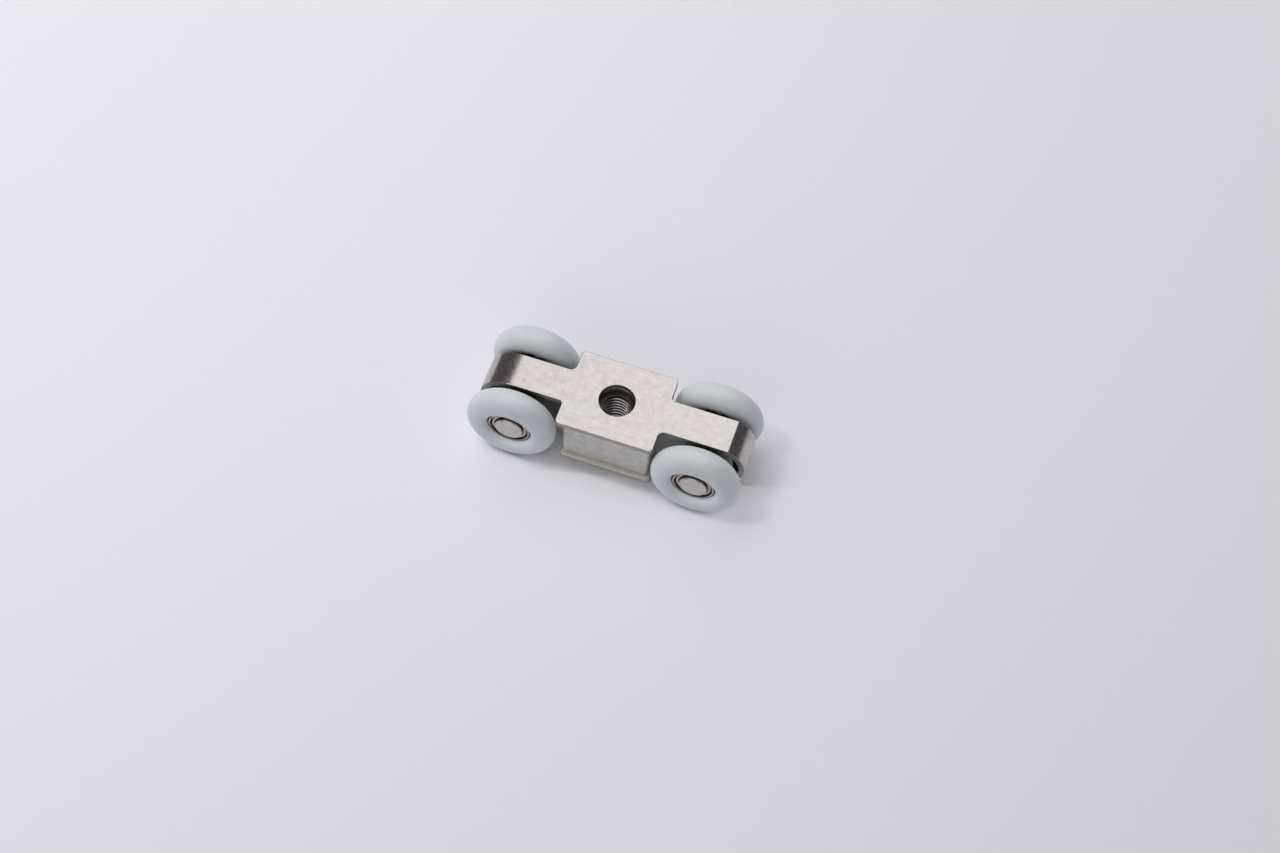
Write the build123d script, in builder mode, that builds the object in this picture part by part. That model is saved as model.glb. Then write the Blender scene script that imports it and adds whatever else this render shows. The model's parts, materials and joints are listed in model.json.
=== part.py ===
from build123d import *
from math import cos, pi, radians, sin
import os

# Four-wheel hanger roller for a sliding door. Millimetres, +Z up, +X along the track.
# The origin is on the rolling plane, straight below the axis of the hanger thread.

# Wheels
wheel_radius = 11.0
tyre_half_width = 3.5
crown_radius = 3.5          # radius of the tyre's round tread
tyre_rim_offset = 2.15      # rim of the tyre's bore, from the wheel's mid-plane
tyre_lead_in = 0.2
half_wheelbase = 22.9
wheel_offset = 9.25         # mid-plane of each wheel, from the centre line
axle_height = wheel_radius

# Ball bearing, 5 x 11 x 4
bearing_bore_radius = 2.5
bearing_outer_radius = 5.5
bearing_half_width = 2.0
ball_radius = 0.79
ball_pitch_radius = 4.02
ball_count = 10
race_clearance = 0.02
outer_shoulder_radius = 4.6
inner_shoulder_radius = 3.45
shield_seat_radius = 4.75
shield_bore_radius = 3.62
shield_thickness = 0.25
shield_seat_offset = 1.45
ring_chamfer = 0.25
cage_inner_radius = 3.72
cage_outer_radius = 4.34
cage_back_offset = 1.25
cage_tip_offset = -0.6
cage_pocket_radius = 0.83

# Axles and spacers
axle_radius = bearing_bore_radius
axle_head_radius = 3.5
axle_head_height = 0.55
axle_head_rounding = 0.15
spacer_radius = 3.4

# Strap
sheet = 1.5
strap_top = axle_height + 8.1
strap_height = 13.8
strap_bottom = strap_top - strap_height
strap_middle = strap_top - strap_height / 2
arm_width = 8.9
plate_length = 24.0
plate_width = 21.0
sharp_notch_radius = 0.9
soft_notch_radius = 1.5
plate_corner_radius = 1.0
foot_left = -10.2
foot_right = 12.3
foot_width = 22.8
crease_position = 28.65     # where the flat top ends and the right end curls down
crease_radius = 1.0
right_end = 33.3
left_bend_start = -24.1
left_bend_radius = 10.0     # gentle first part of the left curl
left_bend_turn = radians(35)
seam_position = -18.0
seam_gap = 0.3
hole_radius = 4.3

# Core block
block_top = strap_top - sheet
block_bottom = strap_bottom + sheet
block_left = -10.0
block_right = 11.4
block_width = 20.6
block_corner_radius = 1.0
beam_width = 8.2
beam_left = -28.0
beam_right = 30.1
beam_left_rounding = 3.9
beam_right_rounding = 3.0

# Threaded bush, M8
bush_radius = 5.5
bush_top = strap_top - 3.2
thread_minor_radius = 3.32
bush_chamfer = 0.35

wheel_names = {
    "front_left": (-half_wheelbase, -1),
    "front_right": (half_wheelbase, -1),
    "rear_left": (-half_wheelbase, 1),
    "rear_right": (half_wheelbase, 1),
}


def save(part, name):
    """Label a finished piece and write it as its own STEP file."""
    part.label = name
    export_step(part, f"parts/{name}.step")


def wheel_plane(x, side):
    """Section plane of a wheel: local X runs outwards along the axle, local Y runs up."""
    return Plane(
        origin=(x, side * wheel_offset, axle_height),
        x_dir=(0, side, 0),
        z_dir=(side, 0, 0),
    )


def axle_axis(x):
    return Axis((x, 0, axle_height), (0, 1, 0))


def make_strap_profile():
    """Outside of the strap seen from the side: flat top and foot, a long and a tight curl."""
    bend_x = left_bend_start - left_bend_radius * sin(left_bend_turn)
    bend_rise = strap_height / 2 - left_bend_radius * (1 - cos(left_bend_turn))
    end_radius = bend_rise / cos(left_bend_turn)
    left_end = bend_x - end_radius * (1 - sin(left_bend_turn))
    with BuildSketch(Plane.XZ) as profile:
        with BuildLine():
            Line((left_bend_start, strap_top), (crease_position, strap_top))
            ThreePointArc(
                (crease_position, strap_top),
                (right_end, strap_middle),
                (crease_position, strap_bottom),
            )
            Line((crease_position, strap_bottom), (left_bend_start, strap_bottom))
            TangentArc(
                (left_bend_start, strap_bottom),
                (bend_x, strap_middle - bend_rise),
                tangent=(-1, 0),
            )
            ThreePointArc(
                (bend_x, strap_middle - bend_rise),
                (left_end, strap_middle),
                (bend_x, strap_middle + bend_rise),
            )
            TangentArc(
                (left_bend_start, strap_top),
                (bend_x, strap_middle + bend_rise),
                tangent=(-1, 0),
            )
        make_face()
        creases = profile.vertices().filter_by_position(
            Axis.X, crease_position - 0.1, crease_position + 0.1
        )
        fillet(creases, crease_radius)
    return profile.sketch


def make_cross(left, right, width):
    """Plan of the strip where it widens between the wheels."""
    reach = 2 * right_end + sheet
    with BuildSketch() as cross:
        Rectangle(reach, arm_width)
        with Locations(((left + right) / 2, 0)):
            Rectangle(right - left, width)
        soft = [(left, arm_width / 2), (right, -arm_width / 2)]
        sharp = [(left, -arm_width / 2), (right, arm_width / 2)]
        outer = [(x, y) for x in (left, right) for y in (-width / 2, width / 2)]
        for radius, places in (
            (soft_notch_radius, soft),
            (sharp_notch_radius, sharp),
            (plate_corner_radius, outer),
        ):
            for x, y in places:
                corner = cross.vertices().sort_by_distance((x, y, 0))[0]
                fillet(corner, radius)
    return cross.sketch


def make_strap_frame():
    outside = make_strap_profile()
    inside = offset(outside, amount=-sheet)
    top_cross = make_cross(-plate_length / 2, plate_length / 2, plate_width)
    foot_cross = make_cross(foot_left, foot_right, foot_width)
    with BuildPart() as strap_frame:
        extrude(outside, amount=foot_width, both=True)
        extrude(inside, amount=foot_width, both=True, mode=Mode.SUBTRACT)
        with BuildSketch(Plane.XY.offset(strap_middle)):
            Rectangle(4 * right_end, 4 * foot_width)
            add(top_cross, mode=Mode.SUBTRACT)
        extrude(amount=strap_height, mode=Mode.SUBTRACT)
        with BuildSketch(Plane.XY.offset(strap_middle)):
            Rectangle(4 * right_end, 4 * foot_width)
            add(foot_cross, mode=Mode.SUBTRACT)
        extrude(amount=-strap_height, mode=Mode.SUBTRACT)
        # Through hole for the hanger bolt and its key
        Cylinder(hole_radius, 4 * strap_top, mode=Mode.SUBTRACT)
        # Butt joint where the two ends of the strip meet underneath
        with Locations((seam_position, 0, strap_bottom)):
            Box(seam_gap, 2 * arm_width, 3 * sheet, mode=Mode.SUBTRACT)
    return strap_frame.part


def make_core_block():
    beam_length = beam_right - beam_left
    block_height = block_top - block_bottom
    middle = (block_top + block_bottom) / 2
    with BuildPart() as core_block:
        with Locations(((beam_left + beam_right) / 2, 0, middle)):
            Box(beam_length, beam_width, block_height)
        cross_edges = core_block.edges().filter_by(Axis.Y)
        fillet(cross_edges.group_by(Axis.X)[0], beam_left_rounding)
        cross_edges = core_block.edges().filter_by(Axis.Y)
        fillet(cross_edges.group_by(Axis.X)[-1], beam_right_rounding)
        with BuildSketch(Plane.XY.offset(block_bottom)):
            with Locations(((block_left + block_right) / 2, 0)):
                RectangleRounded(block_right - block_left, block_width, block_corner_radius)
        extrude(amount=block_height)
        # Counterbore above the bush, and the seat that the bush is pressed into
        with BuildSketch(Plane.XY.offset(block_top)):
            Circle(hole_radius)
        extrude(amount=bush_top - block_top, mode=Mode.SUBTRACT)
        with BuildSketch(Plane.XY.offset(bush_top)):
            Circle(bush_radius)
        extrude(amount=block_bottom - bush_top, mode=Mode.SUBTRACT)
        for x in (-half_wheelbase, half_wheelbase):
            with BuildSketch(Plane.XZ):
                with Locations((x, axle_height)):
                    Circle(axle_radius)
            extrude(amount=block_width, both=True, mode=Mode.SUBTRACT)
    return core_block.part


def make_threaded_bush():
    with BuildPart() as threaded_bush:
        with BuildSketch(Plane.XY.offset(block_bottom)):
            Circle(bush_radius)
            Circle(thread_minor_radius, mode=Mode.SUBTRACT)
        extrude(amount=bush_top - block_bottom)
        mouth = threaded_bush.edges().filter_by(GeomType.CIRCLE).sort_by(SortBy.RADIUS)[:2]
        chamfer(mouth, bush_chamfer)
    return threaded_bush.part


def make_axle(x):
    """Cross axle, riveted over outside both bearings."""
    shoulder = wheel_offset + bearing_half_width
    with BuildPart() as axle:
        with BuildSketch(Plane.XZ):
            with Locations((x, axle_height)):
                Circle(axle_radius)
        extrude(amount=shoulder, both=True)
        for side in (-1, 1):
            with BuildSketch(Plane.XZ.offset(side * shoulder)):
                with Locations((x, axle_height)):
                    Circle(axle_head_radius)
            extrude(amount=side * axle_head_height)
        ends = axle.faces().sort_by(Axis.Y)
        fillet(ends[0].edges() + ends[-1].edges(), axle_head_rounding)
    return axle.part


def make_spacer(x, side):
    inner = beam_width / 2
    length = wheel_offset - bearing_half_width - inner
    with BuildPart() as spacer:
        with BuildSketch(Plane.XZ.offset(-side * inner)):
            with Locations((x, axle_height)):
                Circle(spacer_radius)
                Circle(axle_radius, mode=Mode.SUBTRACT)
        extrude(amount=-side * length)
    return spacer.part


def make_tyre(x, side):
    """Round-crowned tyre whose sides dip in towards the bore."""
    crown_centre = wheel_radius - crown_radius
    rim_radius = bearing_outer_radius + tyre_lead_in
    seat = tyre_rim_offset - tyre_lead_in
    with BuildPart() as tyre:
        with BuildSketch(wheel_plane(x, side)):
            with BuildLine():
                ThreePointArc(
                    (-tyre_half_width, crown_centre),
                    (0, wheel_radius),
                    (tyre_half_width, crown_centre),
                )
                TangentArc(
                    (tyre_half_width, crown_centre),
                    (tyre_rim_offset, rim_radius),
                    tangent=(0, -1),
                )
                Polyline(
                    (tyre_rim_offset, rim_radius),
                    (seat, bearing_outer_radius),
                    (-seat, bearing_outer_radius),
                    (-tyre_rim_offset, rim_radius),
                )
                TangentArc(
                    (-tyre_half_width, crown_centre),
                    (-tyre_rim_offset, rim_radius),
                    tangent=(0, -1),
                )
            make_face()
        revolve(axis=axle_axis(x))
    return tyre.part


def make_outer_ring(x, side):
    race_radius = ball_radius + race_clearance
    with BuildPart() as outer_ring:
        with BuildSketch(wheel_plane(x, side)):
            with Locations((0, (bearing_outer_radius + outer_shoulder_radius) / 2)):
                Rectangle(2 * bearing_half_width, bearing_outer_radius - outer_shoulder_radius)
            for end in (-1, 1):
                with Locations((end * (bearing_half_width + shield_seat_offset) / 2, 0)):
                    Rectangle(
                        bearing_half_width - shield_seat_offset,
                        2 * shield_seat_radius,
                        mode=Mode.SUBTRACT,
                    )
            with Locations((0, ball_pitch_radius)):
                Circle(race_radius, mode=Mode.SUBTRACT)
        revolve(axis=axle_axis(x))
        rims = outer_ring.edges().filter_by(GeomType.CIRCLE).sort_by(SortBy.RADIUS)[-2:]
        chamfer(rims, ring_chamfer)
    return outer_ring.part


def make_inner_ring(x, side):
    race_radius = ball_radius + race_clearance
    with BuildPart() as inner_ring:
        with BuildSketch(wheel_plane(x, side)):
            with Locations((0, (bearing_bore_radius + inner_shoulder_radius) / 2)):
                Rectangle(2 * bearing_half_width, inner_shoulder_radius - bearing_bore_radius)
            with Locations((0, ball_pitch_radius)):
                Circle(race_radius, mode=Mode.SUBTRACT)
        revolve(axis=axle_axis(x))
    return inner_ring.part


def make_shield(x, side, face):
    """Thin disc in the outer ring's step; face is 1 on the outside and -1 on the inside."""
    with BuildPart() as shield:
        with BuildSketch(wheel_plane(x, side)):
            with Locations(
                (
                    face * (shield_seat_offset + shield_thickness / 2),
                    (shield_seat_radius + shield_bore_radius) / 2,
                )
            ):
                Rectangle(shield_thickness, shield_seat_radius - shield_bore_radius)
        revolve(axis=axle_axis(x))
    return shield.part


def ball_places(x, side):
    """Centres of the balls, evenly spaced round the axle."""
    y = side * wheel_offset
    return [
        (
            x + ball_pitch_radius * cos(2 * pi * i / ball_count),
            y,
            axle_height + ball_pitch_radius * sin(2 * pi * i / ball_count),
        )
        for i in range(ball_count)
    ]


def make_balls(x, side):
    with BuildPart() as balls:
        with Locations(*ball_places(x, side)):
            Sphere(ball_radius)
    return balls.part


def make_cage(x, side):
    with BuildPart() as cage:
        with BuildSketch(wheel_plane(x, side)):
            with Locations(
                (
                    (cage_back_offset + cage_tip_offset) / 2,
                    (cage_outer_radius + cage_inner_radius) / 2,
                )
            ):
                Rectangle(
                    cage_back_offset - cage_tip_offset,
                    cage_outer_radius - cage_inner_radius,
                )
        revolve(axis=axle_axis(x))
        for place in ball_places(x, side):
            with Locations(place):
                Sphere(cage_pocket_radius, rotation=(90, 0, 0), mode=Mode.SUBTRACT)
    return cage.part


os.makedirs("parts", exist_ok=True)
save(make_strap_frame(), "strap_frame")
save(make_core_block(), "core_block")
save(make_threaded_bush(), "threaded_bush")
save(make_axle(-half_wheelbase), "axle_left")
save(make_axle(half_wheelbase), "axle_right")
for name, (x, side) in wheel_names.items():
    save(make_spacer(x, side), f"spacer_{name}")
    save(make_tyre(x, side), f"tyre_{name}")
    save(make_outer_ring(x, side), f"outer_ring_{name}")
    save(make_inner_ring(x, side), f"inner_ring_{name}")
    save(make_shield(x, side, 1), f"shield_outer_{name}")
    save(make_shield(x, side, -1), f"shield_inner_{name}")
    save(make_balls(x, side), f"balls_{name}")
    save(make_cage(x, side), f"cage_{name}")
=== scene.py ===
import json
from math import atan2, ceil, cos, hypot, pi, radians, sin, sqrt

import bmesh
import bpy
from mathutils import Matrix, Vector


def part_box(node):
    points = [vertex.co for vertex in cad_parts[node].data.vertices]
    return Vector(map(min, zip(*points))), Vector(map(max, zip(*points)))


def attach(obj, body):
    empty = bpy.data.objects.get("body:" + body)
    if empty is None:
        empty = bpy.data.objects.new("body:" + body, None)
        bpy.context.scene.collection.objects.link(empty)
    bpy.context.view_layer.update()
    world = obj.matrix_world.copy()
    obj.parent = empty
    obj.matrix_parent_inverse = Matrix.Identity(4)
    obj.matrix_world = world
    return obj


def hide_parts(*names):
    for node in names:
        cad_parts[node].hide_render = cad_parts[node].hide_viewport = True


# Four-wheel hanger roller for a sliding door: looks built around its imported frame. Metres, +Z up.
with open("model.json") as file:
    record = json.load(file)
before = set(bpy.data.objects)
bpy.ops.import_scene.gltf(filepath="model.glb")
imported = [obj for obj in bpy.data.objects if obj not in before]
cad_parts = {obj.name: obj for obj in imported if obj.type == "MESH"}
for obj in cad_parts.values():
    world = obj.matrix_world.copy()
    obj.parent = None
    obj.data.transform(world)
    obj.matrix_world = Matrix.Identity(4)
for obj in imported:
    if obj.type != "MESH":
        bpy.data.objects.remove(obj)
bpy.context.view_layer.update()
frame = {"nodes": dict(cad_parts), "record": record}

MM = 0.001
WHEELS = ("front_left", "front_right", "rear_left", "rear_right")
record = frame["record"]
body_of_node = {n: body for body, nodes in record["behaviour"]["bodies"].items() for n in nodes}
slot_of_node = {part["node"]: part["material_slot"] for part in record["subparts"]}

# Meshes
merge_distance = 0.0001 * MM
thread_merge_distance = 0.0005 * MM
level_tolerance = 0.001 * MM
flat_joint_angle = radians(0.5)     # faces meeting flatter than this are one face
sharp_angle = radians(30)
flat_face_weight = 90

# Strap and block
strap_edge_rounding = 0.16 * MM
block_edge_rounding = 0.13 * MM
cut_face_tilt = 0.6                 # how squarely a cut face looks along X or Y
crease_to_end = 4.65 * MM           # from the crease to the outside of the right curl
left_flat_end = -24.1 * MM

# Hanger thread, M8
thread_pitch = 1.25 * MM
thread_minor_radius = 3.32 * MM
thread_major_radius = 4.0 * MM
thread_mouth_radius = 3.42 * MM
thread_lip = 0.25 * MM
thread_crest_share = 0.20         # of the pitch
thread_root_share = 0.24
thread_flank_steps = 4
seat_depth = 0.15 * MM            # the flat round the thread, below the top of the bush
seat_radius = 4.15 * MM
seat_cone_radius = 4.5 * MM
lip_rounding = 0.08 * MM
thread_steps = 96

# Wheels and bearings: distances along the axle are from the wheel's mid-plane
turning_steps = 112
crown_steps = 20
side_curve_steps = 8
groove_steps = 12
crown_radius = 3.5 * MM
side_curve_radius = 1.875 * MM
tyre_rim_offset = 2.15 * MM
tyre_lead_in = 0.2 * MM
tyre_rim_rounding = 0.09 * MM
ball_radius = 0.79 * MM
ball_pitch_radius = 4.02 * MM
ball_count = 10
race_radius = 0.81 * MM
outer_shoulder_radius = 4.6 * MM
inner_shoulder_radius = 3.45 * MM
shield_seat_radius = 4.75 * MM
shield_seat_offset = 1.45 * MM
ring_rounding = 0.27 * MM
ring_rim_share = 0.97             # edges beyond this share of the ring's radius are its rim
# Beyond this radius the outer ring is painted near black, as painted shade on its chamfer and at
# the gap to the tyre
ring_shade_radius = 5.04 * MM
shield_flat_radius = 4.22 * MM
shield_bore_radius = 3.62 * MM
shield_sheet_share = 0.55         # of the shield's height; the rest is the rise of its flat
shield_bend_share = 0.35          # how much of that rise is reached halfway along the bend
axle_shank_radius = 2.5 * MM
axle_head_height = 0.55 * MM
axle_head_rounding = 0.48 * MM
axle_head_segments = 6
spacer_rounding = 0.12 * MM

# Floor
floor_reach = 2.5
floor_shade_distance = 11 * MM

# Lights
DOWN = (0, 0, -1)
PAPER, METAL, BOTH = ("paper",), ("metal",), ("paper", "metal")
plain_light = (1.0, 0.99, 1.0)
warm_light = (1.0, 0.99, 0.98)
room_colour = (0.95, 0.96, 1.0)
room_strength = 0.08

# Camera
camera_sensor_width = 36
camera_elevation = radians(59.48)
camera_turn = radians(13.59)
camera_roll = radians(5.53)
camera_distance = 0.5936
camera_focal_length = 70.31
aim_right = 5.777 * MM
aim_up = -1.992 * MM


def middle(node):
    """The centre of the node's box."""
    low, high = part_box(node)
    return (low + high) / 2


def arc(centre, radius, start, end, count):
    """Points on a circle from the start angle to the end angle, both included."""
    turns = [start + (end - start) * i / count for i in range(count + 1)]
    return [(centre[0] + radius * cos(t), centre[1] + radius * sin(t)) for t in turns]


def mirrored(half):
    """A closed outline from its outer half: the same points, then their mirror image."""
    return half + [(-along, radius) for along, radius in reversed(half)]


# Mesh building


def finish_piece(node, bm):
    """Makes the mesh a piece that rides on its node's body and stands for the node."""
    bmesh.ops.remove_doubles(bm, verts=bm.verts, dist=merge_distance)
    bmesh.ops.recalc_face_normals(bm, faces=bm.faces)
    for face in bm.faces:
        face.smooth = True
    for edge in bm.edges:
        edge.smooth = edge.calc_face_angle(0) < sharp_angle
    mesh = bpy.data.meshes.new(f"finished_{node}")
    bm.to_mesh(mesh)
    bm.free()
    piece = bpy.data.objects.new(mesh.name, mesh)
    bpy.context.scene.collection.objects.link(piece)
    mesh.materials.append(finishes[slot_of_node[node]])
    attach(piece, body_of_node[node])
    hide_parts(node)
    return piece


def keep_flats_flat(piece):
    """Large flat faces keep their own normals, and the rounded edges blend into them."""
    weighted = piece.modifiers.new("flats", "WEIGHTED_NORMAL")
    weighted.keep_sharp = True
    weighted.weight = flat_face_weight


def note_distance_from_axle(piece, centre):
    """Keeps each vertex's distance from the axle on the mesh, for the painted shade on the
    bearing's rings and shields.
    """
    distances = piece.data.attributes.new("from_axle", "FLOAT", "POINT")
    for vert, distance in zip(piece.data.vertices, distances.data):
        distance.value = (vert.co - centre).xz.length


def turned_mesh(outline, centre, side, closed=True, steps=turning_steps):
    """Turns an outline of (distance along the axle, radius) points about the axle."""
    bm = bmesh.new()
    points = [bm.verts.new((0, side * along, radius)) for along, radius in outline]
    pairs = list(zip(points, points[1:]))
    if closed:
        pairs.append((points[-1], points[0]))
    edges = [bm.edges.new(pair) for pair in pairs]
    bmesh.ops.spin(
        bm,
        geom=points + edges,
        cent=(0, 0, 0),
        axis=(0, 1, 0),
        angle=2 * pi,
        steps=steps,
        use_merge=True,
    )
    bmesh.ops.remove_doubles(bm, verts=bm.verts, dist=merge_distance)
    bmesh.ops.recalc_face_normals(bm, faces=bm.faces)
    bmesh.ops.translate(bm, verts=bm.verts, vec=centre)
    return bm


def sharp_edges(bm):
    return [e for e in bm.edges if e.calc_face_angle(0) > sharp_angle]


def round_edges(bm, edges, width, segments=3):
    bmesh.ops.bevel(
        bm,
        geom=edges,
        offset=width,
        offset_type="OFFSET",
        affect="EDGES",
        segments=segments,
        profile=0.5,
        material=-1,
        clamp_overlap=True,
    )


def merged_copy(node):
    """The node's mesh with its doubles merged and its flat faces made whole."""
    bm = bmesh.new()
    bm.from_mesh(frame["nodes"][node].data)
    bmesh.ops.remove_doubles(bm, verts=bm.verts, dist=merge_distance)
    bmesh.ops.dissolve_limit(
        bm, angle_limit=flat_joint_angle, verts=bm.verts, edges=bm.edges
    )
    return bm


# Carriage


def strip_distance(point, low, high):
    """How far along the folded strip a point lies, so that brushing follows the curls."""
    mid = (low.z + high.z) / 2
    half = (high.z - low.z) / 2
    crease = high.x - crease_to_end
    if left_flat_end < point.x < crease:
        return point.x
    if point.x >= crease:
        return crease + half * (pi / 2 - atan2(point.z - mid, point.x - crease))
    return left_flat_end - half * (pi / 2 - atan2(point.z - mid, left_flat_end - point.x))


def build_strap():
    low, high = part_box("strap_frame")
    bm = merged_copy("strap_frame")
    round_edges(bm, sharp_edges(bm), strap_edge_rounding)
    plate_reach = (high.x - low.x) / 4
    # Sawn faces look sideways, or along the strip where the wide plate steps in to the arms
    cut_faces = [
        abs(f.normal.y) > cut_face_tilt
        or (abs(f.normal.x) > cut_face_tilt and abs(f.calc_center_median().x) < plate_reach)
        for f in bm.faces
    ]
    piece = finish_piece("strap_frame", bm)
    cut = piece.data.attributes.new("cut", "FLOAT", "FACE")
    cut.data.foreach_set("value", [float(is_cut) for is_cut in cut_faces])
    strip = piece.data.attributes.new("strip", "FLOAT_VECTOR", "POINT")
    mid = (low.z + high.z) / 2
    for vert, place in zip(piece.data.vertices, strip.data):
        depth = hypot(vert.co.z - mid, vert.co.x)
        place.vector = (strip_distance(vert.co, low, high), vert.co.y, depth)
    keep_flats_flat(piece)


def build_core_block():
    bm = merged_copy("core_block")
    round_edges(bm, sharp_edges(bm), block_edge_rounding)
    keep_flats_flat(finish_piece("core_block", bm))


def thread_column(bottom, turns):
    """One vertical line of the internal thread: crest, flank, root and flank, turn by turn."""
    crest, root, count = thread_crest_share, thread_root_share, thread_flank_steps
    flank = (1 - crest - root) / 2
    depth = thread_major_radius - thread_minor_radius
    steps = [(0, 0), (crest, 0)]
    steps += [(crest + flank * i / count, i / count) for i in range(1, count + 1)]
    steps += [(crest + flank + root + flank * i / count, 1 - i / count) for i in range(count)]
    return [
        (thread_minor_radius + depth * out, 0, bottom + (turn + share) * thread_pitch)
        for turn in range(turns)
        for share, out in steps
    ]


def cut_level(bm, height, upward):
    """Cuts the mesh level at that height and takes away what lies above or below it."""
    bmesh.ops.bisect_plane(
        bm,
        geom=bm.verts[:] + bm.edges[:] + bm.faces[:],
        plane_co=(0, 0, height),
        plane_no=(0, 0, 1 if upward else -1),
        clear_outer=True,
    )


def rim_at(bm, height):
    """The open edges at that height."""
    return [
        e
        for e in bm.edges
        if e.is_boundary and all(abs(v.co.z - height) < level_tolerance for v in e.verts)
    ]


def thread_surface(low, high):
    """The helical thread, one column of points turned and raised turn by turn."""
    turns = ceil((high.z - low.z) / thread_pitch) + 2
    bm = bmesh.new()
    column = [bm.verts.new(p) for p in thread_column(low.z - 1.5 * thread_pitch, turns)]
    edges = [bm.edges.new(pair) for pair in zip(column, column[1:])]
    bmesh.ops.spin(
        bm,
        geom=column + edges,
        cent=(0, 0, 0),
        axis=(0, 0, 1),
        dvec=(0, 0, thread_pitch / thread_steps),
        angle=2 * pi,
        steps=thread_steps,
        use_merge=False,
    )
    bmesh.ops.remove_doubles(bm, verts=bm.verts, dist=thread_merge_distance)
    return bm


def run_out_thread(bm, bottom, seat):
    """A short plain lip at each mouth, where the thread runs out."""
    for v in bm.verts:
        depth = min(seat - v.co.z, v.co.z - bottom)
        radius = hypot(v.co.x, v.co.y)
        into_thread = min(max(depth / thread_lip - 1, 0), 1)
        v.co.xy *= (thread_mouth_radius + (radius - thread_mouth_radius) * into_thread) / radius


def extrude_rim(bm, rim, radius, height):
    """Extrudes a round rim to another radius and height, and returns the new rim."""
    made = bmesh.ops.extrude_edge_only(bm, edges=rim)["geom"]
    for v in (g for g in made if isinstance(g, bmesh.types.BMVert)):
        v.co.xy *= radius / hypot(v.co.x, v.co.y)
        v.co.z = height
    return [g for g in made if isinstance(g, bmesh.types.BMEdge) and g.is_boundary]


def thread_lips(bm, bottom, seat):
    """The sharp round edges of the thread's two mouths."""
    return [
        e
        for e in sharp_edges(bm)
        if all(hypot(v.co.x, v.co.y) < thread_mouth_radius + lip_rounding for v in e.verts)
        and all(min(abs(v.co.z - seat), v.co.z - bottom) < level_tolerance for v in e.verts)
    ]


def build_threaded_bush():
    low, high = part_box("threaded_bush")
    outside = (high.x - low.x) / 2
    seat = high.z - seat_depth
    bm = thread_surface(low, high)
    cut_level(bm, seat, True)
    cut_level(bm, low.z, False)
    run_out_thread(bm, low.z, seat)
    # Seat, cone, top face and outside wall
    rim = extrude_rim(bm, rim_at(bm, seat), seat_radius, seat)
    rim = extrude_rim(bm, rim, seat_cone_radius, high.z)
    rim = extrude_rim(bm, rim, outside, high.z)
    extrude_rim(bm, rim, outside, low.z)
    bmesh.ops.bridge_loops(bm, edges=rim_at(bm, low.z))
    round_edges(bm, thread_lips(bm, low.z, seat), lip_rounding)
    bmesh.ops.translate(bm, verts=bm.verts, vec=((low + high) / 2).xy.to_3d())
    finish_piece("threaded_bush", bm)


def build_axle(name):
    low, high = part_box(name)
    half = (high.y - low.y) / 2
    shoulder = half - axle_head_height
    head = (high.z - low.z) / 2
    outline = [
        (half, 0),
        (half, head),
        (shoulder, head),
        (shoulder, axle_shank_radius),
        (-shoulder, axle_shank_radius),
        (-shoulder, head),
        (-half, head),
        (-half, 0),
    ]
    bm = turned_mesh(outline, middle(name), 1, closed=False)
    rims = [
        e
        for e in sharp_edges(bm)
        if all(abs(v.co.y) > half - axle_head_rounding for v in e.verts)
    ]
    round_edges(bm, rims, axle_head_rounding, axle_head_segments)
    keep_flats_flat(finish_piece(name, bm))


def build_spacer(wheel, side):
    node = f"spacer_{wheel}"
    low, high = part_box(node)
    half = (high.y - low.y) / 2
    outer = (high.z - low.z) / 2
    outline = mirrored([(half, axle_shank_radius), (half, outer)])
    bm = turned_mesh(outline, middle(node), side)
    round_edges(bm, sharp_edges(bm), spacer_rounding, segments=2)
    keep_flats_flat(finish_piece(node, bm))


# Wheels


def build_tyre(wheel, side):
    node = f"tyre_{wheel}"
    low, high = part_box(node)
    ring_low, ring_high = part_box(f"outer_ring_{wheel}")
    outer = (high.z - low.z) / 2
    crown_centre = outer - crown_radius
    half = (high.y - low.y) / 2
    bore = (ring_high.z - ring_low.z) / 2
    rim = bore + tyre_lead_in
    side_centre = (half - side_curve_radius, crown_centre)
    rim_turn = atan2(rim - crown_centre, tyre_rim_offset - side_centre[0])
    crown = arc((0, crown_centre), crown_radius, pi / 2, 0, crown_steps)
    flank = arc(side_centre, side_curve_radius, 0, rim_turn, side_curve_steps)[1:]
    half_outline = crown[1:] + flank + [(tyre_rim_offset - tyre_lead_in, bore)]
    outline = [(0, outer)] + half_outline
    outline += [(-along, radius) for along, radius in reversed(half_outline)]
    bm = turned_mesh(outline, middle(node), side)
    round_edges(bm, sharp_edges(bm), tyre_rim_rounding)
    finish_piece(node, bm)


def build_outer_ring(wheel, side):
    node = f"outer_ring_{wheel}"
    low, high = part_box(node)
    half = (high.y - low.y) / 2
    outer = (high.z - low.z) / 2
    rise = outer_shoulder_radius - ball_pitch_radius
    groove_edge = sqrt(race_radius**2 - rise**2)
    start = atan2(rise, groove_edge)
    groove = arc((0, ball_pitch_radius), race_radius, pi - start, start, groove_steps)
    face = [
        (shield_seat_offset, outer_shoulder_radius),
        (shield_seat_offset, shield_seat_radius),
        (half, shield_seat_radius),
        (half, outer),
    ]
    outline = groove + face + [(-along, radius) for along, radius in reversed(face)]
    centre = middle(node)
    bm = turned_mesh(outline, centre, side)
    rims = [
        e
        for e in sharp_edges(bm)
        if all((v.co - centre).xz.length > ring_rim_share * outer for v in e.verts)
    ]
    round_edges(bm, rims, ring_rounding)
    piece = finish_piece(node, bm)
    keep_flats_flat(piece)
    note_distance_from_axle(piece, centre)


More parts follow.
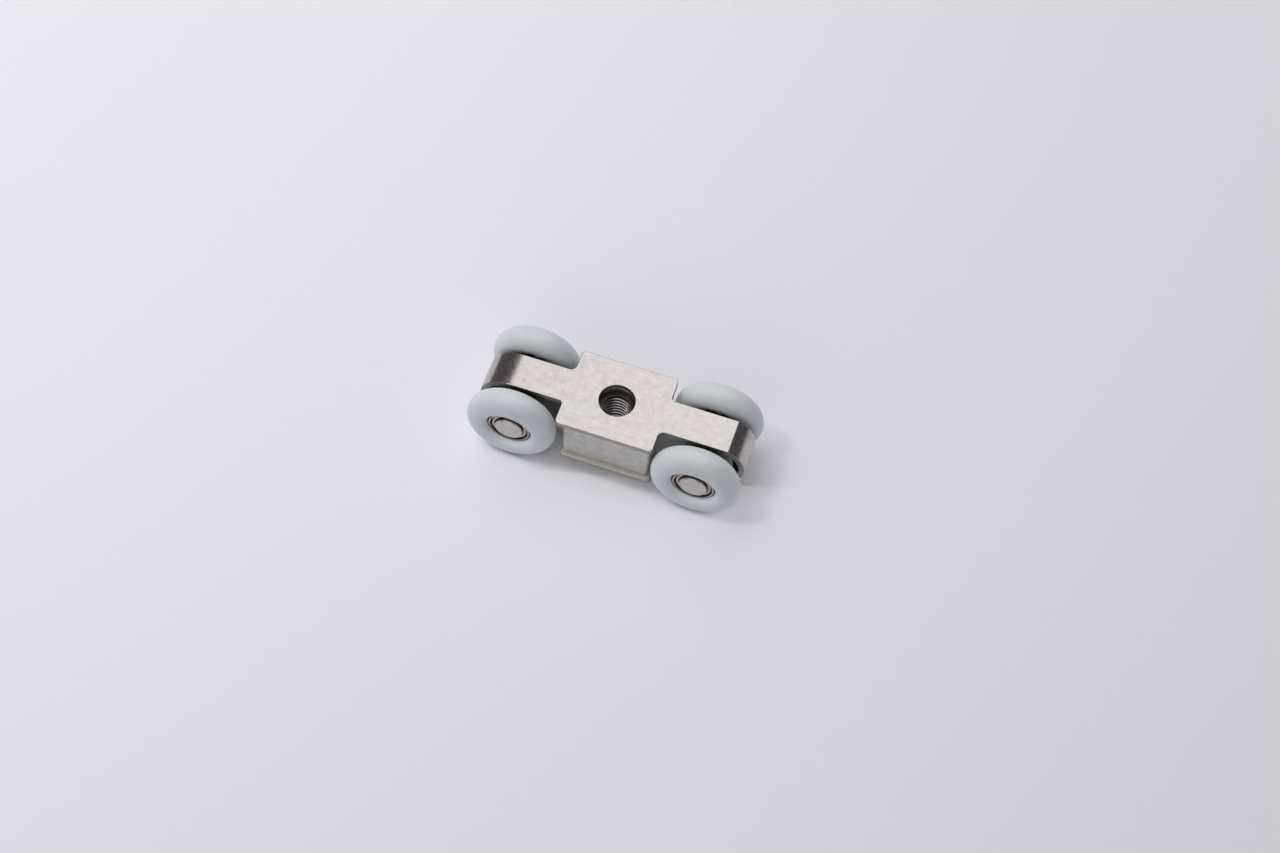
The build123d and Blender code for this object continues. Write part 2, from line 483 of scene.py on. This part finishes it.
def build_inner_ring(wheel, side):
    node = f"inner_ring_{wheel}"
    low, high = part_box(node)
    half = (high.y - low.y) / 2
    drop = ball_pitch_radius - inner_shoulder_radius
    groove_edge = sqrt(race_radius**2 - drop**2)
    start = atan2(-drop, groove_edge)
    groove = arc((0, ball_pitch_radius), race_radius, start, -pi - start, groove_steps)
    ends = [
        (-half, inner_shoulder_radius),
        (-half, axle_shank_radius),
        (half, axle_shank_radius),
        (half, inner_shoulder_radius),
    ]
    bm = turned_mesh(groove + ends, middle(node), side)
    keep_flats_flat(finish_piece(node, bm))


def build_shield(wheel, side, face, place):
    """Pressed disc: crimped rim in the ring's step, then a raised flat round the bore."""
    node = f"shield_{place}_{wheel}"
    low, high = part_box(node)
    height = high.y - low.y
    rim = (high.z - low.z) / 2
    thickness = shield_sheet_share * height
    rise = height - thickness
    bend = (rim - shield_flat_radius) / 3
    front = [
        (thickness, rim),
        (thickness, shield_flat_radius + bend),
        (thickness + shield_bend_share * rise, shield_flat_radius + bend / 2),
        (thickness + rise, shield_flat_radius),
        (thickness + rise, shield_bore_radius),
    ]
    back = [(along - thickness, radius) for along, radius in reversed(front)]
    centre = middle(node)
    seat = centre - Vector((0, side * face * height / 2, 0))
    bm = turned_mesh(front + back, seat, side * face)
    piece = finish_piece(node, bm)
    keep_flats_flat(piece)
    note_distance_from_axle(piece, centre)


def build_balls(wheel):
    node = f"balls_{wheel}"
    centre = middle(f"outer_ring_{wheel}")
    bm = bmesh.new()
    for i in range(ball_count):
        turn = 2 * pi * i / ball_count
        place = centre + ball_pitch_radius * Vector((cos(turn), 0, sin(turn)))
        bmesh.ops.create_uvsphere(
            bm,
            u_segments=24,
            v_segments=14,
            radius=ball_radius,
            matrix=Matrix.Translation(place),
        )
    finish_piece(node, bm)


# Materials


class Finish:
    """A procedural material being built: a Principled shader and the nodes that feed it."""

    def __init__(self, name, colour, metallic, roughness):
        self.material = bpy.data.materials.new(name)
        self.material.use_nodes = True
        self.nodes = self.material.node_tree.nodes
        self.links = self.material.node_tree.links
        self.shader = self.nodes["Principled BSDF"]
        self.set("Base Color", (*colour, 1))
        self.set("Metallic", metallic)
        self.set("Roughness", roughness)
        self.colour = None
        self.roughness = None
        self.normal = None

    def set(self, socket, value):
        self.shader.inputs[socket].default_value = value

    def node(self, kind, inputs=None, **settings):
        made = self.nodes.new(f"ShaderNode{kind}")
        for name, value in settings.items():
            setattr(made, name, value)
        for name, value in (inputs or {}).items():
            self.feed(made.inputs[name], value)
        return made

    def feed(self, socket, value):
        if isinstance(value, bpy.types.NodeSocket):
            self.links.new(value, socket)
        else:
            socket.default_value = value

    def place(self, attribute=None):
        """Where the point is on the piece: object space, or an attribute of the mesh."""
        if attribute:
            return self.node("Attribute", attribute_name=attribute).outputs["Vector"]
        return self.node("TexCoord").outputs["Object"]

    def noise(self, size, place, detail=4.0, stretch=(1, 1, 1), rough=0.55):
        """Noise whose features are about size metres, stretched along each axis."""
        scale = [1 / (size * s) for s in stretch]
        mapping = self.node("Mapping", {"Vector": place, "Scale": scale})
        noise = self.node(
            "TexNoise",
            {
                "Vector": mapping.outputs["Vector"],
                "Scale": 1.0,
                "Detail": detail,
                "Roughness": rough,
            },
        )
        return noise.outputs["Fac"]

    def spread(self, value, low, high, start=0.3, end=0.7):
        """Maps the value's start..end stretch onto low..high."""
        return self.node(
            "MapRange",
            {"Value": value, "From Min": start, "From Max": end, "To Min": low, "To Max": high},
        ).outputs["Result"]

    def sum(self, a, b, operation="ADD"):
        made = self.node("Math", operation=operation)
        self.feed(made.inputs[0], a)
        self.feed(made.inputs[1], b)
        return made.outputs["Value"]

    def blend(self, share, a, b):
        """Colour a where share is 0, b where it is 1."""
        made = self.node("Mix", data_type="RGBA")
        self.feed(made.inputs["Factor"], share)
        for name, value in (("A", a), ("B", b)):
            socket = next(s for s in made.inputs if s.name == name and s.type == "RGBA")
            self.feed(socket, (*value, 1) if isinstance(value, tuple) else value)
        return next(s for s in made.outputs if s.type == "RGBA")

    def bump(self, height, distance, strength=1.0):
        inputs = {"Height": height, "Distance": distance, "Strength": strength}
        if self.normal:
            inputs["Normal"] = self.normal
        self.normal = self.node("Bump", inputs).outputs["Normal"]

    def edge_wear(self, radius, low=0.02, high=0.25):
        """1 on outside edges and corners, 0 on the faces between them."""
        bevel = self.node("Bevel", {"Radius": radius}, samples=6)
        true = self.node("NewGeometry").outputs["Normal"]
        dot = self.node("VectorMath", operation="DOT_PRODUCT")
        self.feed(dot.inputs[0], bevel.outputs["Normal"])
        self.feed(dot.inputs[1], true)
        return self.spread(dot.outputs["Value"], 1.0, 0.0, 1 - high, 1 - low)

    def done(self):
        if self.colour:
            self.feed(self.shader.inputs["Base Color"], self.colour)
        if self.roughness:
            self.feed(self.shader.inputs["Roughness"], self.roughness)
        if self.normal:
            self.feed(self.shader.inputs["Normal"], self.normal)
        return self.material


def brushed_stainless():
    """Sheet brushed along the strip, faintly mottled, dark on its cut edges, grimy low down."""
    made = Finish("brushed_stainless", (0.56, 0.53, 0.515), 1.0, 0.28)
    place = made.place("strip")
    fine = made.noise(0.10 * MM, place, 3, (70, 1, 1))
    broad = made.noise(0.7 * MM, place, 3, (14, 1, 1))
    mottle = made.noise(1.9 * MM, made.place(), 6, rough=0.6)
    tint = made.noise(4.0 * MM, made.place(), 3)
    speck = made.noise(0.22 * MM, made.place(), 4)
    wear = made.edge_wear(0.3 * MM)
    cut = made.node("Attribute", attribute_name="cut").outputs["Fac"]
    split = made.node("SeparateXYZ", {"Vector": made.place()})
    grime = made.spread(split.outputs["Z"], 1, 0, 6.85 * MM, 7.6 * MM)
    tinted = made.spread(tint, 0, 1, 0.38, 0.62)
    warm = made.blend(tinted, (0.58, 0.56, 0.545), (0.60, 0.55, 0.54))
    streaked = made.blend(made.spread(fine, 0, 0.22), warm, (0.35, 0.335, 0.32))
    shadowy = made.spread(mottle, 0.26, 0, 0.36, 0.62)
    clouded = made.blend(shadowy, streaked, (0.37, 0.345, 0.33))
    speckled = made.spread(speck, 0, 1, 0.35, 0.65)
    olive = made.blend(speckled, (0.72, 0.71, 0.65), (0.42, 0.41, 0.37))
    sawn = made.blend(speckled, (0.40, 0.385, 0.35), (0.24, 0.23, 0.205))
    dulled = made.blend(made.sum(grime, 0.85, "MULTIPLY"), clouded, olive)
    edged = made.blend(made.sum(cut, 0.9, "MULTIPLY"), dulled, sawn)
    rubbed = made.sum(wear, made.spread(grime, 0.6, 0.5, 0, 1), "MULTIPLY")
    made.colour = made.blend(rubbed, edged, (0.80, 0.79, 0.78))
    rough = made.sum(made.spread(broad, 0.20, 0.32), made.spread(mottle, 0.04, -0.03))
    rough = made.sum(rough, made.sum(grime, 0.2, "MULTIPLY"))
    made.roughness = made.sum(rough, made.sum(cut, 0.1, "MULTIPLY"))
    made.bump(fine, 0.004 * MM, 0.6)
    made.bump(broad, 0.005 * MM, 0.5)
    made.bump(mottle, 0.012 * MM, 0.35)
    return made.done()


def satin_steel():
    """Milled block in an even satin, specked with olive grime, with painted shade darkening it
    under the arms.
    """
    made = Finish("satin_steel", (0.58, 0.57, 0.54), 1.0, 0.36)
    place = made.place()
    lines = made.noise(0.12 * MM, place, 3, (40, 40, 1))
    cloud = made.noise(1.6 * MM, place, 5)
    speck = made.noise(0.28 * MM, place, 4)
    wear = made.edge_wear(0.3 * MM)
    split = made.node("SeparateXYZ", {"Vector": place})
    # Painted shade: near black past the block's left end and a little darker past its right end,
    # where it lies in the shade under the arms
    under_left = made.spread(split.outputs["X"], 0.93, 0, -11.2 * MM, -10.4 * MM)
    under_right = made.spread(split.outputs["X"], 0, 0.3, 11.5 * MM, 12.3 * MM)
    block_painted_shade = made.sum(under_left, under_right)
    base = made.blend(made.spread(cloud, 0, 1), (0.58, 0.575, 0.555), (0.46, 0.45, 0.425))
    lined = made.blend(made.spread(lines, 0, 0.2), base, (0.34, 0.335, 0.31))
    grimy = made.blend(made.spread(speck, 0, 0.35, 0.5, 0.72), lined, (0.24, 0.23, 0.19))
    shaded = made.blend(block_painted_shade, grimy, (0.10, 0.10, 0.085))
    made.colour = made.blend(made.sum(wear, 0.6, "MULTIPLY"), shaded, (0.80, 0.79, 0.77))
    made.roughness = made.sum(made.spread(cloud, 0.32, 0.44), made.spread(lines, -0.03, 0.04))
    made.bump(lines, 0.005 * MM, 0.5)
    made.bump(speck, 0.008 * MM, 0.4)
    made.bump(cloud, 0.02 * MM, 0.3)
    return made.done()


def bush_steel():
    """Free-cutting steel, painted near black as shade everywhere but the crests of its thread,
    which keep their bare steel colour.
    """
    made = Finish("bush_steel", (0.4, 0.4, 0.39), 1.0, 0.2)
    place = made.place()
    flat = made.node("VectorMath", operation="MULTIPLY")
    made.feed(flat.inputs[0], place)
    made.feed(flat.inputs[1], (1, 1, 0))
    from_axis = made.node("VectorMath", {0: flat.outputs["Vector"]}, operation="LENGTH")
    # Painted shade: all but the crests are painted near black, for the shade in the thread's
    # grooves and flanks and on the seat
    crest_zone = (thread_minor_radius + 0.06 * MM, thread_minor_radius + 0.15 * MM)
    crest = made.spread(from_axis.outputs["Value"], 1, 0, *crest_zone)
    cloud = made.noise(0.8 * MM, place, 4)
    rings = made.noise(0.05 * MM, place, 2, (30, 30, 1))
    bush_painted_shade = made.blend(made.spread(cloud, 0, 1), (0.032, 0.032, 0.03), (0.012, 0.012, 0.011))
    cut = made.blend(made.spread(cloud, 0, 1), (0.56, 0.54, 0.52), (0.40, 0.38, 0.36))
    made.colour = made.blend(crest, bush_painted_shade, cut)
    made.roughness = made.sum(made.spread(rings, 0.16, 0.24), made.spread(cloud, -0.02, 0.05))
    made.bump(rings, 0.0012 * MM, 0.4)
    return made.done()


def axle_steel():
    """Turned bar with riveted heads, softly mottled where the tool pressed."""
    made = Finish("axle_steel", (0.62, 0.59, 0.565), 1.0, 0.28)
    place = made.place()
    cloud = made.noise(1.0 * MM, place, 5)
    grain = made.noise(0.14 * MM, place, 3)
    wear = made.edge_wear(0.2 * MM)
    base = made.blend(made.spread(cloud, 0, 1), (0.64, 0.605, 0.57), (0.50, 0.465, 0.43))
    grained = made.blend(made.spread(grain, 0, 0.3), base, (0.38, 0.36, 0.34))
    made.colour = made.blend(made.sum(wear, 0.5, "MULTIPLY"), grained, (0.80, 0.79, 0.78))
    made.roughness = made.sum(made.spread(cloud, 0.22, 0.34), made.spread(grain, -0.03, 0.04))
    made.bump(cloud, 0.02 * MM, 0.4)
    made.bump(grain, 0.004 * MM, 0.5)
    return made.done()


def nylon():
    """Moulded nylon: pale, a little translucent, satin with a very fine grain."""
    made = Finish("nylon", (0.62, 0.655, 0.68), 0.0, 0.42)
    made.set("Subsurface Weight", 0.35)
    made.set("Subsurface Radius", (1.0, 0.95, 0.9))
    made.set("Subsurface Scale", 1.2 * MM)
    made.set("Specular IOR Level", 0.45)
    place = made.place()
    flow = made.noise(5.0 * MM, place, 3)
    grain = made.noise(0.16 * MM, place, 2)
    scuff = made.noise(0.5 * MM, place, 4, (1, 8, 1))
    wear = made.spread(scuff, 0, 1, 0.62, 0.8)
    base = made.blend(made.spread(flow, 0, 1), (0.60, 0.64, 0.67), (0.65, 0.68, 0.70))
    made.colour = made.blend(made.sum(wear, 0.1, "MULTIPLY"), base, (0.50, 0.53, 0.55))
    made.roughness = made.sum(made.spread(flow, 0.38, 0.46), made.spread(grain, -0.02, 0.04))
    made.bump(grain, 0.004 * MM, 0.5)
    made.bump(flow, 0.05 * MM, 0.2)
    return made.done()


def bearing_steel():
    """Ground ring steel with faint turning lines, its outer corner painted black as shade."""
    made = Finish("bearing_steel", (0.6, 0.59, 0.57), 1.0, 0.18)
    place = made.place()
    lines = made.noise(0.05 * MM, place, 2, (1, 20, 1))
    cloud = made.noise(1.0 * MM, place, 4)
    from_axle = made.node("Attribute", attribute_name="from_axle").outputs["Fac"]
    # Painted shade: the ring is painted near black on its outer corner
    corner = made.spread(from_axle, 0, 0.94, ring_shade_radius, ring_shade_radius + 0.08 * MM)
    ground = made.blend(made.spread(cloud, 0, 1), (0.50, 0.49, 0.47), (0.32, 0.31, 0.29))
    lined = made.blend(made.spread(lines, 0, 0.2), ground, (0.22, 0.21, 0.20))
    made.colour = made.blend(corner, lined, (0.035, 0.034, 0.03))
    made.roughness = made.sum(made.spread(lines, 0.12, 0.22), made.spread(cloud, -0.02, 0.06))
    made.bump(lines, 0.003 * MM, 0.5)
    return made.done()


def shield_steel():
    """Pressed sheet with a soft sheen, painted near black as shade in the crimp and round the bore.
    """
    made = Finish("shield_steel", (0.6, 0.59, 0.56), 1.0, 0.26)
    place = made.place()
    cloud = made.noise(0.8 * MM, place, 5)
    grain = made.noise(0.08 * MM, place, 2)
    from_axle = made.node("Attribute", attribute_name="from_axle").outputs["Fac"]
    # Painted shade: the crimp and the ring round the bore are painted near black, for the shade in
    # the groove and round the axle head
    crimp = made.spread(from_axle, 0, 0.96, shield_flat_radius, shield_flat_radius + 0.08 * MM)
    bore_zone = (shield_bore_radius + 0.1 * MM, shield_bore_radius + 0.18 * MM)
    bore = made.spread(from_axle, 0.96, 0, *bore_zone)
    shield_painted_shade = made.sum(crimp, bore, "MAXIMUM")
    sheet = made.blend(made.spread(cloud, 0, 1), (0.50, 0.49, 0.45), (0.30, 0.29, 0.26))
    made.colour = made.blend(shield_painted_shade, sheet, (0.03, 0.029, 0.025))
    made.roughness = made.sum(made.spread(cloud, 0.12, 0.2), made.spread(grain, -0.02, 0.03))
    made.bump(cloud, 0.006 * MM, 0.4)
    made.bump(grain, 0.003 * MM, 0.4)
    return made.done()


def ball_steel():
    """Polished balls with a trace of grease haze."""
    made = Finish("ball_steel", (0.72, 0.72, 0.73), 1.0, 0.08)
    haze = made.noise(0.5 * MM, made.place(), 4)
    made.colour = made.blend(made.spread(haze, 0, 1), (0.75, 0.75, 0.76), (0.60, 0.59, 0.56))
    made.roughness = made.spread(haze, 0.05, 0.2)
    made.bump(haze, 0.002 * MM, 0.3)
    return made.done()


def cage_nylon():
    """Natural nylon cage, amber and slightly greasy."""
    made = Finish("cage_nylon", (0.50, 0.42, 0.28), 0.0, 0.4)
    place = made.place()
    flow = made.noise(1.5 * MM, place, 3)
    grain = made.noise(0.1 * MM, place, 2)
    made.colour = made.blend(made.spread(flow, 0, 1), (0.54, 0.46, 0.32), (0.44, 0.36, 0.23))
    made.roughness = made.sum(made.spread(flow, 0.34, 0.46), made.spread(grain, -0.03, 0.03))
    made.bump(grain, 0.005 * MM, 0.5)
    return made.done()


def studio_floor():
    """Pale paper, with painted shade: its colour darkens where the roller stands close over it."""
    made = Finish("studio_floor", (0.80, 0.797, 0.845), 0.0, 0.75)
    # Painted shade: ambient occlusion darkens the floor's colour under and round the roller
    near = made.node("AmbientOcclusion", {"Distance": floor_shade_distance}, samples=8)
    open_to_light = made.spread(near.outputs["AO"], 0, 1, 0.2, 0.55)
    made.colour = made.blend(open_to_light, (0.06, 0.06, 0.063), (0.80, 0.797, 0.845))
    made.set("Specular IOR Level", 0.2)
    grain = made.noise(0.5 * MM, made.place(), 2)
    made.roughness = made.spread(grain, 0.7, 0.8)
    return made.done()


# Studio


def add_floor(material):
    bm = bmesh.new()
    bmesh.ops.create_grid(bm, x_segments=1, y_segments=1, size=floor_reach)
    mesh = bpy.data.meshes.new("floor")
    bm.to_mesh(mesh)
    bm.free()
    mesh.materials.append(material)
    floor = bpy.data.objects.new("floor", mesh)
    bpy.context.scene.collection.objects.link(floor)


def add_softbox(name, place, size, radiance, facing=None, colour=plain_light, lights=BOTH):
    """A flat soft light of that radiance. It faces the object unless told otherwise."""
    light = bpy.data.lights.new(name, "AREA")
    light.shape = "RECTANGLE"
    light.size, light.size_y = size
    light.energy = radiance * pi * size[0] * size[1]
    light.color = colour
    lamp = bpy.data.objects.new(name, light)
    bpy.context.scene.collection.objects.link(lamp)
    turn = Vector(facing or [-c for c in place]).to_track_quat("-Z", "Y")
    lamp.matrix_world = Matrix.Translation(place) @ turn.to_matrix().to_4x4()
    lamp.visible_diffuse = "paper" in lights
    lamp.visible_glossy = "metal" in lights
    return light


def add_lights():
    """Two fills without shadows for floor and nylon, front, key, and two cards for the metal."""
    ceiling = add_softbox("ceiling", (-0.865, 0.643, 0.9), (1.6, 1.6), 2.25, DOWN, lights=PAPER)
    right = add_softbox("right", (1.1, 0.4, 0.6), (0.7, 0.7), 2.5, lights=PAPER)
    for fill in (ceiling, right):
        fill.use_shadow = False
    add_softbox("front", (-0.35, -1.1, 0.65), (1.5, 0.8), 1.15)
    add_softbox("key", (-0.351, -0.132, 0.706), (0.11, 0.11), 24.0, colour=warm_light)
    add_softbox("card", (-0.015, 0.44, 0.8), (0.69, 1.78), 1.29, DOWN, lights=METAL)
    add_softbox("front_right", (0.9, -0.9, 0.45), (1.4, 0.8), 0.5, lights=METAL)


def add_world():
    world = bpy.data.worlds.new("studio")
    bpy.context.scene.world = world
    world.use_nodes = True
    background = world.node_tree.nodes["Background"]
    background.inputs["Color"].default_value = (*room_colour, 1)
    background.inputs["Strength"].default_value = room_strength


def add_camera():
    data = bpy.data.cameras.new("camera")
    data.lens = camera_focal_length
    data.sensor_width = camera_sensor_width
    camera = bpy.data.objects.new("camera", data)
    bpy.context.scene.collection.objects.link(camera)
    turn = Matrix.Rotation(camera_turn, 4, "Z")
    turn @= Matrix.Rotation(pi / 2 - camera_elevation, 4, "X")
    turn @= Matrix.Rotation(camera_roll, 4, "Z")
    thread_axis = Vector((0, 0, middle("axle_left").z))
    right, up, back = (turn.col[i].to_3d() for i in range(3))
    place = thread_axis + aim_right * right + aim_up * up + camera_distance * back
    camera.matrix_world = Matrix.Translation(place) @ turn
    bpy.context.scene.camera = camera


finishes = {
    made.__name__: made()
    for made in (
        brushed_stainless,
        satin_steel,
        bush_steel,
        axle_steel,
        nylon,
        bearing_steel,
        shield_steel,
        ball_steel,
        cage_nylon,
    )
}
for name, node in frame["nodes"].items():
    node.data.materials.clear()
    node.data.materials.append(finishes[slot_of_node[name]])

build_strap()
build_core_block()
build_threaded_bush()
build_axle("axle_left")
build_axle("axle_right")
for wheel in WHEELS:
    side = -1 if wheel.startswith("front") else 1
    build_spacer(wheel, side)
    build_tyre(wheel, side)
    build_outer_ring(wheel, side)
    build_inner_ring(wheel, side)
    build_shield(wheel, side, 1, "outer")
    build_shield(wheel, side, -1, "inner")
    build_balls(wheel)

add_floor(studio_floor())
add_lights()
add_world()
add_camera()
bpy.context.scene.view_settings.view_transform = "Standard"
